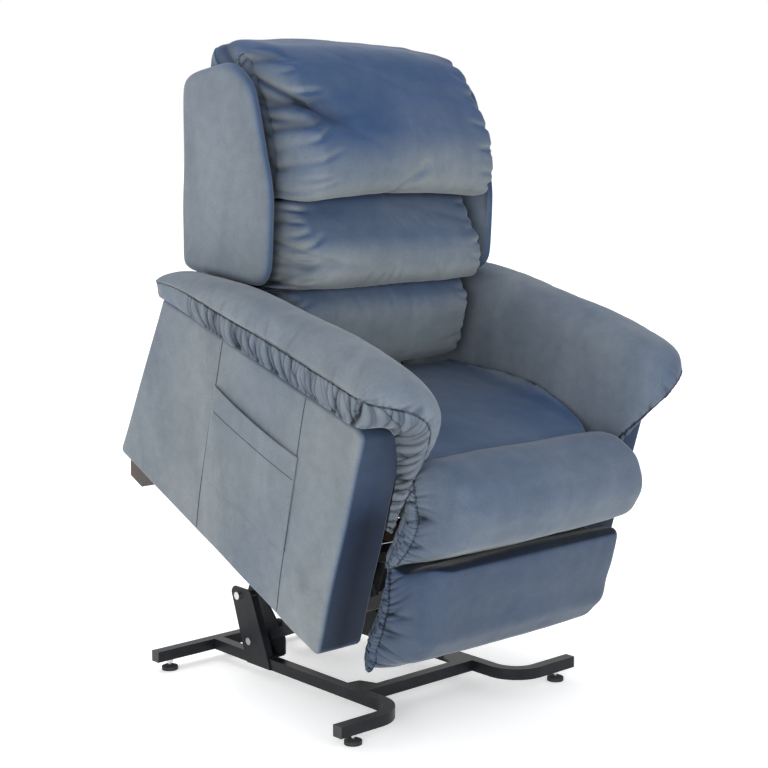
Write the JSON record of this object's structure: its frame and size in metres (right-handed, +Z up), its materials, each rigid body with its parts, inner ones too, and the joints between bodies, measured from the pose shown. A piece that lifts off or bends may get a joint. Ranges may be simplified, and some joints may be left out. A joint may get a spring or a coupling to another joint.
{
  "type": "lift recliner chair",
  "caption": "Upholstered power lift recliner: the seat rises and tips forward on links over a steel floor frame, the back reclines and a footrest swings out.",
  "frame": {"origin": "on the floor, in the middle of the outer box of the raised chair", "axes": "+Z up, the occupant faces -Y, +X is the occupant's left"},
  "size_m": [0.9, 0.9766, 1.4542],
  "materials": {
    "frame_paint": "gloss powder coat",
    "zinc": "bright zinc plate",
    "mechanism_steel": "satin black",
    "black_plastic": "moulded matte",
    "glide_rubber": "matte",
    "frame_wood": "dark stained plywood",
    "leg_wood": "dark stain",
    "blue_velour": "soft pile"
  },
  "bodies": {
    "base": {"rear_cross_tube": "frame_paint", "front_cross_tube": "frame_paint", "left_side_rail": "frame_paint", "right_side_rail": "frame_paint", "left_tower": "frame_paint", "right_tower": "frame_paint", "tower_pivot_pins": "zinc", "tube_end_caps": "black_plastic", "levelling_foot_pads": "glide_rubber", "levelling_foot_studs": "zinc", "corner_gussets": "frame_paint", "lift_actuator_bracket": "frame_paint"},
    "upper_links": {"left_upper_link": "frame_paint", "right_upper_link": "frame_paint", "upper_link_cross_tube": "frame_paint"},
    "lower_links": {"left_lower_link": "frame_paint", "right_lower_link": "frame_paint", "lower_link_cross_tube": "frame_paint"},
    "lift_actuator": {"lift_actuator_housing": "black_plastic"},
    "lift_rod": {"lift_actuator_rod": "zinc"},
    "chair": {"seat_frame_side_tubes": "frame_paint", "seat_frame_cross_tubes": "frame_paint", "lift_brackets": "frame_paint", "mechanism_plates": "mechanism_steel", "mechanism_spacers": "mechanism_steel", "actuator_rails": "frame_paint", "control_box": "black_plastic", "seat_wood_rails": "frame_wood", "seat_springs": "zinc", "seat_cushion": "blue_velour", "seat_front_roll": "blue_velour", "rear_legs": "leg_wood", "arm_frame_boards": "frame_wood", "right_side_pocket": "blue_velour", "left_side_panel": "blue_velour", "right_side_panel": "blue_velour", "left_arm_pad": "blue_velour", "right_arm_pad": "blue_velour", "left_arm_bolster": "blue_velour", "right_arm_bolster": "blue_velour", "footrest_actuator_housing": "black_plastic"},
    "backrest": {"head_pillow": "blue_velour", "middle_pillow": "blue_velour", "lumbar_pillow": "blue_velour", "left_wing": "blue_velour", "right_wing": "blue_velour", "back_frame": "frame_wood", "back_rear_cover": "blue_velour", "back_hinge_arms": "mechanism_steel", "back_pivot_tube": "mechanism_steel"},
    "recline_actuator": {"recline_actuator_housing": "black_plastic"},
    "recline_rod": {"recline_actuator_rod": "zinc"},
    "footrest_arms": {"footrest_arms": "mechanism_steel", "footrest_torque_tube": "mechanism_steel"},
    "footrest_links": {"footrest_links": "mechanism_steel"},
    "footrest": {"footrest_board": "frame_wood", "footrest_brackets": "mechanism_steel", "footrest_pad": "blue_velour"},
    "footrest_rod": {"footrest_actuator_rod": "zinc"}
  },
  "joints": [
    {"name": "lift", "type": "hinge", "parent": "base", "child": "upper_links", "pos_m": [0, 0.356, 0.179], "axis": [-1, 0, 0], "range_deg": [-25.62, 0]},
    {"name": "chair_tilt", "type": "hinge", "parent": "upper_links", "child": "chair", "pos_m": [0, -0.09967, 0.32512], "axis": [-1, 0, 0], "range_deg": [0, 50.54]},
    {"name": "lower_link_swing", "type": "hinge", "parent": "base", "child": "lower_links", "pos_m": [0, 0.319, 0.077], "axis": [-1, 0, 0], "range_deg": [-23.46, 0]},
    {"name": "lift_actuator_swing", "type": "hinge", "parent": "base", "child": "lift_actuator", "pos_m": [0, 0.427, 0.06], "axis": [-1, 0, 0], "range_deg": [-17.65, 0]},
    {"name": "lift_actuator_stroke", "type": "slide", "parent": "lift_actuator", "child": "lift_rod", "axis": [0, -0.9407, 0.3394], "range_m": [-0.04504, 0]},
    {"name": "recline", "type": "hinge", "parent": "chair", "child": "backrest", "pos_m": [0, 0.32803, 0.63874], "axis": [-1, 0, 0], "range_deg": [0, 45]},
    {"name": "recline_actuator_swing", "type": "hinge", "parent": "chair", "child": "recline_actuator", "pos_m": [0, 0.02387, 0.48646], "axis": [-1, 0, 0], "range_deg": [0, 2.98]},
    {"name": "recline_actuator_stroke", "type": "slide", "parent": "recline_actuator", "child": "recline_rod", "axis": [0, 0.9551, 0.2961], "range_m": [-0.05012, 0]},
    {"name": "footrest_raise", "type": "hinge", "parent": "chair", "child": "footrest_arms", "pos_m": [0, -0.20158, 0.42586], "axis": [-1, 0, 0], "range_deg": [0, 90.8]},
    {"name": "footrest_link_swing", "type": "hinge", "parent": "footrest_arms", "child": "footrest_links", "pos_m": [0, -0.05466, 0.32187], "axis": [-1, 0, 0], "range_deg": [-87.41, 0]},
    {"name": "footrest_tilt", "type": "hinge", "parent": "footrest_links", "child": "footrest", "pos_m": [0, -0.22827, 0.36937], "axis": [-1, 0, 0], "range_deg": [0, 80.61]},
    {"name": "footrest_actuator_stroke", "type": "slide", "parent": "chair", "child": "footrest_rod", "axis": [0, -0.907, -0.4212], "range_m": [0, 0.07122]}
  ],
  "couplings": [
    {"joint": "chair_tilt", "follows": "lift", "ratio": -1.9723},
    {"joint": "lower_link_swing", "follows": "lift", "ratio": 0.9153},
    {"joint": "lift_actuator_swing", "follows": "lift", "ratio": 0.68856},
    {"joint": "lift_actuator_stroke", "follows": "lift", "m_per_rad": 0.10068},
    {"joint": "recline_actuator_swing", "follows": "recline", "ratio": 0.066089},
    {"joint": "recline_actuator_stroke", "follows": "recline", "m_per_rad": -0.063794},
    {"joint": "footrest_link_swing", "follows": "footrest_raise", "ratio": -0.96256},
    {"joint": "footrest_tilt", "follows": "footrest_raise", "ratio": 0.88767},
    {"joint": "footrest_actuator_stroke", "follows": "footrest_raise", "m_per_rad": 0.044928}
  ]
}
